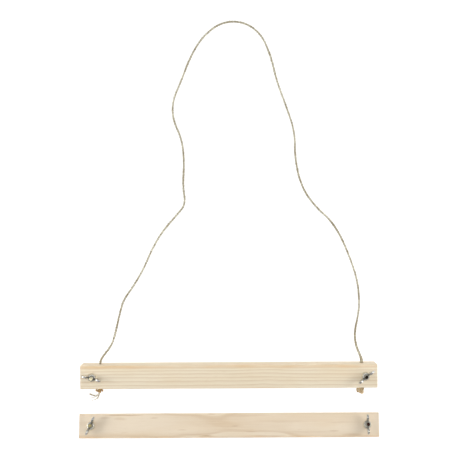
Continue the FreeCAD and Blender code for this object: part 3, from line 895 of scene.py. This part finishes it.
def wing_outline():
    """A wing's outline from its foot round the lobe to its shoulder, in its own plane."""
    centre = Vector((WING["span"] / 2 - WING["lobe"], WING["height"] - WING["lobe"]))
    foot = Vector((WING["root"], WING["foot_height"]))
    shoulder = Vector((WING["root"], WING["root_height"]))
    low = tangent_point(foot, centre, WING["lobe"], 1) - centre
    high = tangent_point(shoulder, centre, WING["lobe"], -1) - centre
    start = math.atan2(low.y, low.x)
    sweep_angle = (math.atan2(high.y, high.x) - start) % (2 * math.pi)
    points = [Vector((WING["inside"], WING["foot_height"])), foot]
    for step in range(LOBE_STEPS + 1):
        angle = start + sweep_angle * step / LOBE_STEPS
        points.append(centre + Vector((math.cos(angle), math.sin(angle))) * WING["lobe"])
    return points + [shoulder, Vector((WING["inside"], WING["root_height"]))]


def wing_thickness(x):
    """A wing's thickness at a distance from the nut's axis: it thins from its root to its end."""
    share = min(1.0, max(0.0, (x - WING["root"]) / (WING["span"] / 2 - WING["root"])))
    return WING_THICKNESS[0] + (WING_THICKNESS[1] - WING_THICKNESS[0]) * share


def wing_nut(name):
    """A cast wing nut standing on the XY plane, its wings along X."""
    hub = lathe(name, HUB_PROFILE, sides=NUT_SIDES)
    work = bmesh.new()
    work.from_mesh(hub.data)
    outline = wing_outline()
    for facing in (1, -1):
        layers = []
        for side in (-1, 1):
            layer = []
            for point in outline:
                place = (facing * point.x, side * wing_thickness(point.x) / 2, point.y)
                layer.append(work.verts.new(place))
            layers.append(layer)
        near, far = layers
        work.faces.new(near)
        work.faces.new(list(reversed(far)))
        for number in range(len(outline)):
            following = (number + 1) % len(outline)
            work.faces.new((near[number], far[number], far[following], near[following]))
    bmesh.ops.recalc_face_normals(work, faces=work.faces)
    work.to_mesh(hub.data)
    work.free()
    remesh = hub.modifiers.new("remesh", "REMESH")
    remesh.mode = "VOXEL"
    remesh.voxel_size = CASTING["voxel"]
    smooth = hub.modifiers.new("smooth", "SMOOTH")
    smooth.factor = CASTING["smoothing"]
    smooth.iterations = CASTING["passes"]
    apply_modifiers(hub)
    cut(hub, lathe("bore", BORE_PROFILE, sides=NUT_SIDES))
    smooth_shade(hub, 40)
    return hub


def add_bar(clamp, layer, seed):
    """One pine bar of a clamp, bored where its bolts go."""
    node = f"{clamp}_{layer}_bar"
    low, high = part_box(node)
    bolt_places = [nut_seat(clamp, side).x / MM for side in SIDES]
    bar = board(f"{node}_pine", (high.x - low.x) / MM, BAR_TALL[clamp], bolt_places, seed)
    placed(bar, Matrix.Translation((low + high) / 2) @ clamp_turn(clamp))
    finish_piece(bar, pine_of[node], f"{clamp}_pine", f"{clamp}_{layer}", node)


def add_fastener(clamp, side):
    """A clamp's carriage bolt on one side, with its washer and wing nut."""
    place = f"{clamp}_{side}"
    bolt = placed(carriage_bolt(f"{place}_carriage_bolt"), along_bolt(clamp, side, 0.0))
    finish_piece(bolt, bolt_metal[place], "zinc_steel", f"{clamp}_back", f"{place}_bolt")
    washer_height = HEAD_HEIGHT + 2 * BAR_DEEP + SEAM[clamp]
    ring = placed(washer(f"{place}_flat_washer"), along_bolt(clamp, side, washer_height))
    finish_piece(ring, washer_painted_light_zinc, "zinc_steel", f"{clamp}_front", f"{place}_washer")
    turn = Matrix.Rotation(math.radians(WING_ANGLE[place]), 4, "Z")
    nut_place = along_bolt(clamp, side, washer_height + WASHER["thickness"] + NUT_GAP) @ turn
    nut = placed(wing_nut(f"{place}_nut"), nut_place)
    finish_piece(nut, nut_metal, "zinc_steel", f"{place}_nut", f"{place}_wing_nut")


CLAMP_SEED = {"upper": 0.0, "lower": 7.3}
LAYER_SEED = {"back": 4, "front": 5}
for clamp in CLAMPS:
    for layer in LAYER_SEED:
        add_bar(clamp, layer, CLAMP_SEED[clamp] + LAYER_SEED[layer])
    for side in SIDES:
        add_fastener(clamp, side)


# --- the twine in its place ---

FLOOR_CLEARANCE = 0.0001
loop_line = spline_points(LOOP_ROUTE_MM)
# The loop's ends swell, and carry painted shade where they meet the bars.
loop, loop_path = twine_piece("hanging_loop", loop_line, TWINE_DIAMETER, seed=11, fibres=1700,
                              floor=FLOOR_CLEARANCE, end_swell_and_shade=((14 * MM, 0.25), (14 * MM, 0.95)))
finish_piece(loop, twine_jute, "jute", "upper_back", "hanging_twine")

STRIP_SIZE = (2.4, 1.0)
TRAIL = {"left": ((-130.0, 38.55), (-130.2, 15.15)), "right": ((134.4, 38.55), (132.5, 15.15))}
SEAM_MIDDLE = 14.7
STRIP_POINTS = 40
STRIP_SEED = {"left": 74, "right": 75}


def clamped_strip(side):
    """The stretch of twine squashed flat between the two upper bars."""
    start, end = (Vector((x * MM, y * MM, SEAM_MIDDLE * MM)) for x, y in TRAIL[side])
    line = np.array([start.lerp(end, share) for share in np.linspace(0.0, 1.0, STRIP_POINTS)])
    strip, _ = twine_piece(f"{side}_pressed_twine", line, TWINE_DIAMETER, STRIP_SEED[side], fibres=0)
    points = np.array([vertex.co for vertex in strip.data.vertices])
    middle_x = np.interp(-points[:, 1], [-start.y, -end.y], [start.x, end.x])
    wide, deep = (np.abs(points[:, 0] - middle_x).max(), np.abs(points[:, 2] - start.z).max())
    points[:, 0] = middle_x + (points[:, 0] - middle_x) * STRIP_SIZE[0] * MM / 2 / wide
    points[:, 2] = start.z + (points[:, 2] - start.z) * STRIP_SIZE[1] * MM / 2 / deep
    strip.data.vertices.foreach_set("co", points.astype(np.float32).ravel())
    return finish_piece(strip, twine_jute, "jute", "upper_back", f"{side}_clamped_twine")


# Each knot: its middle, its trefoil's reach across and along, its depth, how far it is turned and
# tipped back in degrees, the thickness of its twine, and its seed.
KNOT = {
    "left": {"middle": (-131.3, 12.1), "reach": (1.04, 0.84), "depth": 0.85, "turn": 0.0, "tip": 34.0,
             "twine": 1.45, "seed": 91},
    "right": {"middle": (133.2, 11.0), "reach": (1.14, 1.16), "depth": 1.15, "turn": 24.0, "tip": 20.0,
              "twine": 2.05, "seed": 95},
}
KNOT_CUT = math.pi / 3
KNOT_GAP = 0.27
KNOT_POINTS = 120
# The short tail: how far each point goes on from the knot's last run, and how far it is moved.
KNOT_TAIL = [(0.8, (0.0, -0.3, -0.1)), (1.3, (0.1, -1.2, -0.4)), (1.6, (0.3, -2.1, -0.8))]


def knot_line(side):
    """An overhand knot under the bars: a trefoil cut open at its top right, with one end going up
    into the seam and the other leaving as a short tail."""
    settings = KNOT[side]
    angles = np.linspace(KNOT_CUT + 2 * math.pi - KNOT_GAP, KNOT_CUT + KNOT_GAP, KNOT_POINTS)
    turn = math.radians(settings["turn"])
    wide = np.sin(angles) + 2 * np.sin(2 * angles)
    tall = np.cos(angles) - 2 * np.cos(2 * angles)
    x = (wide * math.cos(turn) - tall * math.sin(turn)) * settings["reach"][0]
    y = (wide * math.sin(turn) + tall * math.cos(turn)) * settings["reach"][1]
    z = -np.sin(3 * angles) * settings["depth"]
    tip = math.radians(settings["tip"])
    middle_x, middle_y = settings["middle"]
    knot = np.stack([middle_x + x, middle_y + y * math.cos(tip) - z * math.sin(tip),
                     SEAM_MIDDLE + y * math.sin(tip) + z * math.cos(tip)], axis=1)
    seam_x, seam_y = TRAIL[side][1]
    lead = np.array([(seam_x, seam_y, SEAM_MIDDLE), (seam_x + 0.5, seam_y - 0.4, SEAM_MIDDLE)])
    out = knot[-1] - knot[-2]
    out /= np.linalg.norm(out)
    tail = np.array([knot[-1] + out * reach + shift for reach, shift in KNOT_TAIL])
    return np.concatenate([lead, knot, tail]) * MM


for side in SIDES:
    clamped_strip(side)
    knot, _ = twine_piece(f"{side}_overhand_knot", knot_line(side), KNOT[side]["twine"] * MM,
                          seed=KNOT[side]["seed"], fibres=50, pitch=4.6 * MM)
    finish_piece(knot, knot_jute[side], "jute", "upper_back", f"{side}_knot")

# The frayed plies that leave the left knot: route and thickness in millimetres, shade, and how much
# darker and thicker the end is.
FRAYS = [
    ([(-130.4, 10.4, 14.2), (-132.0, 7.6, 13.0), (-134.8, 6.0, 11.0), (-138.2, 6.1, 9.2), (-141.8, 7.4, 8.0)],
     1.35, 0.50, 0.6),
    ([(-130.9, 9.8, 13.8), (-132.3, 5.8, 10.6), (-134.2, 2.9, 8.0), (-136.8, 1.2, 6.4), (-139.7, 0.5, 5.6)],
     0.90, 0.75, 0.1),
    ([(-131.3, 9.6, 13.6), (-133.6, 5.8, 10.4), (-136.6, 4.1, 8.2), (-140.6, 3.2, 7.2)], 0.55, 0.8, 0.2),
    ([(-130.7, 9.8, 13.8), (-131.7, 6.2, 11.4), (-133.0, 3.6, 9.4), (-133.8, 1.4, 8.2)], 0.50, 0.8, 0.0),
]

FRAY_STEP = 0.3 * MM
FRAY_PITCH = 6.0 * MM
FRAY_FIBRES = 26


def frayed_end():
    """Untwisted plies that fan out, each tapering to a wisp, with loose fibres between them."""
    parts = []
    shades = []
    for number, (route, thickness, shade, clump) in enumerate(FRAYS):
        points, along = evenly_spaced(spline_points(route), FRAY_STEP)
        left = along[-1] - along
        near_end = np.clip(1 - left / (3.0 * MM), 0.0, 1.0)
        width = 0.55 + 0.45 * np.clip(left / (6 * MM), 0.0, 1.0) + 1.4 * clump * near_end
        for centres, radii in ply_lines(points, along, thickness * MM, FRAY_PITCH, 130 + number):
            parts.append(sweep(centres, radii * width, PLY_SIDES))
            shades.append(np.repeat(shade - clump * near_end, PLY_SIDES))
        hairs = loose_fibres(points, FRAY_FIBRES, thickness * MM, 140 + number)
        parts += hairs
        shades += [0.9] * len(hairs)
    piece = merged_piece("frayed_plies", parts, shades)
    return finish_piece(piece, fray_jute, "jute", "upper_back", "left_frayed_end")


frayed_end()


# --- table, light and camera ---

TABLE_HALF = 12.0
table_corners = [(x * TABLE_HALF, y * TABLE_HALF, 0) for x, y in ((-1, -1), (1, -1), (1, 1), (-1, 1))]
table = new_object("table", mesh_from("table", table_corners, [(0, 1, 2, 3)]))
table.data.materials.append(table_top("white_table"))


def area_light(name, place, target, size, power, colour=(1.0, 1.0, 1.0)):
    """A soft square light aimed at a point."""
    lamp = bpy.data.lights.new(name, "AREA")
    lamp.shape = "SQUARE"
    lamp.size = size
    lamp.energy = power
    lamp.color = colour
    holder = new_object(name, lamp)
    holder.location = place
    holder.rotation_euler = (Vector(target) - Vector(place)).to_track_quat("-Z", "Y").to_euler()


area_light("left_softbox", (-0.75, 0.10, 0.48), (-0.05, 0.10, 0.0), 0.36, 3.0)
area_light("right_softbox", (0.75, 0.14, 0.48), (0.05, 0.10, 0.0), 0.36, 3.0)
area_light("far_softbox", (0.0, 1.30, 0.62), (0.0, 0.10, 0.0), 0.9, 1.6, colour=(0.88, 0.95, 1.0))
area_light("overhead", (0.0, 0.25, 1.6), (0.0, 0.15, 0.0), 1.2, 8.6)

SKY_BELOW = (0.95, 0.95, 0.95, 1.0)
SKY_ABOVE = (0.45, 0.45, 0.46, 1.0)
SKY_STRENGTH = 0.42


def studio_world():
    """Even light from all round, which changes from the lower grey to the upper one."""
    world = bpy.data.worlds.new("studio")
    bpy.context.scene.world = world
    world.use_nodes = True
    nodes = world.node_tree.nodes
    links = world.node_tree.links
    direction = nodes.new("ShaderNodeTexCoord").outputs["Generated"]
    apart = nodes.new("ShaderNodeSeparateXYZ")
    links.new(direction, apart.inputs[0])
    sky = nodes.new("ShaderNodeValToRGB")
    for element, position, grey in zip(sky.color_ramp.elements, (0.0, 1.0), (SKY_BELOW, SKY_ABOVE)):
        element.position = position
        element.color = grey
    links.new(apart.outputs[2], sky.inputs["Fac"])
    links.new(sky.outputs["Color"], nodes["Background"].inputs["Color"])
    nodes["Background"].inputs["Strength"].default_value = SKY_STRENGTH


CAMERA_PLACE = (0.00195, 0.1736, 1.0802)
CAMERA_TURN = -0.3
SENSOR = 36.0
LENS = 82.4


def camera_above():
    """A camera that looks straight down, turned a little."""
    lens = bpy.data.cameras.new("camera")
    lens.sensor_width = SENSOR
    lens.lens = LENS
    lens.clip_start = 0.05
    lens.clip_end = 20.0
    camera = new_object("camera", lens)
    camera.location = CAMERA_PLACE
    camera.rotation_euler = (0.0, 0.0, math.radians(CAMERA_TURN))
    bpy.context.scene.camera = camera


studio_world()
camera_above()
bpy.context.scene.view_settings.view_transform = "Standard"
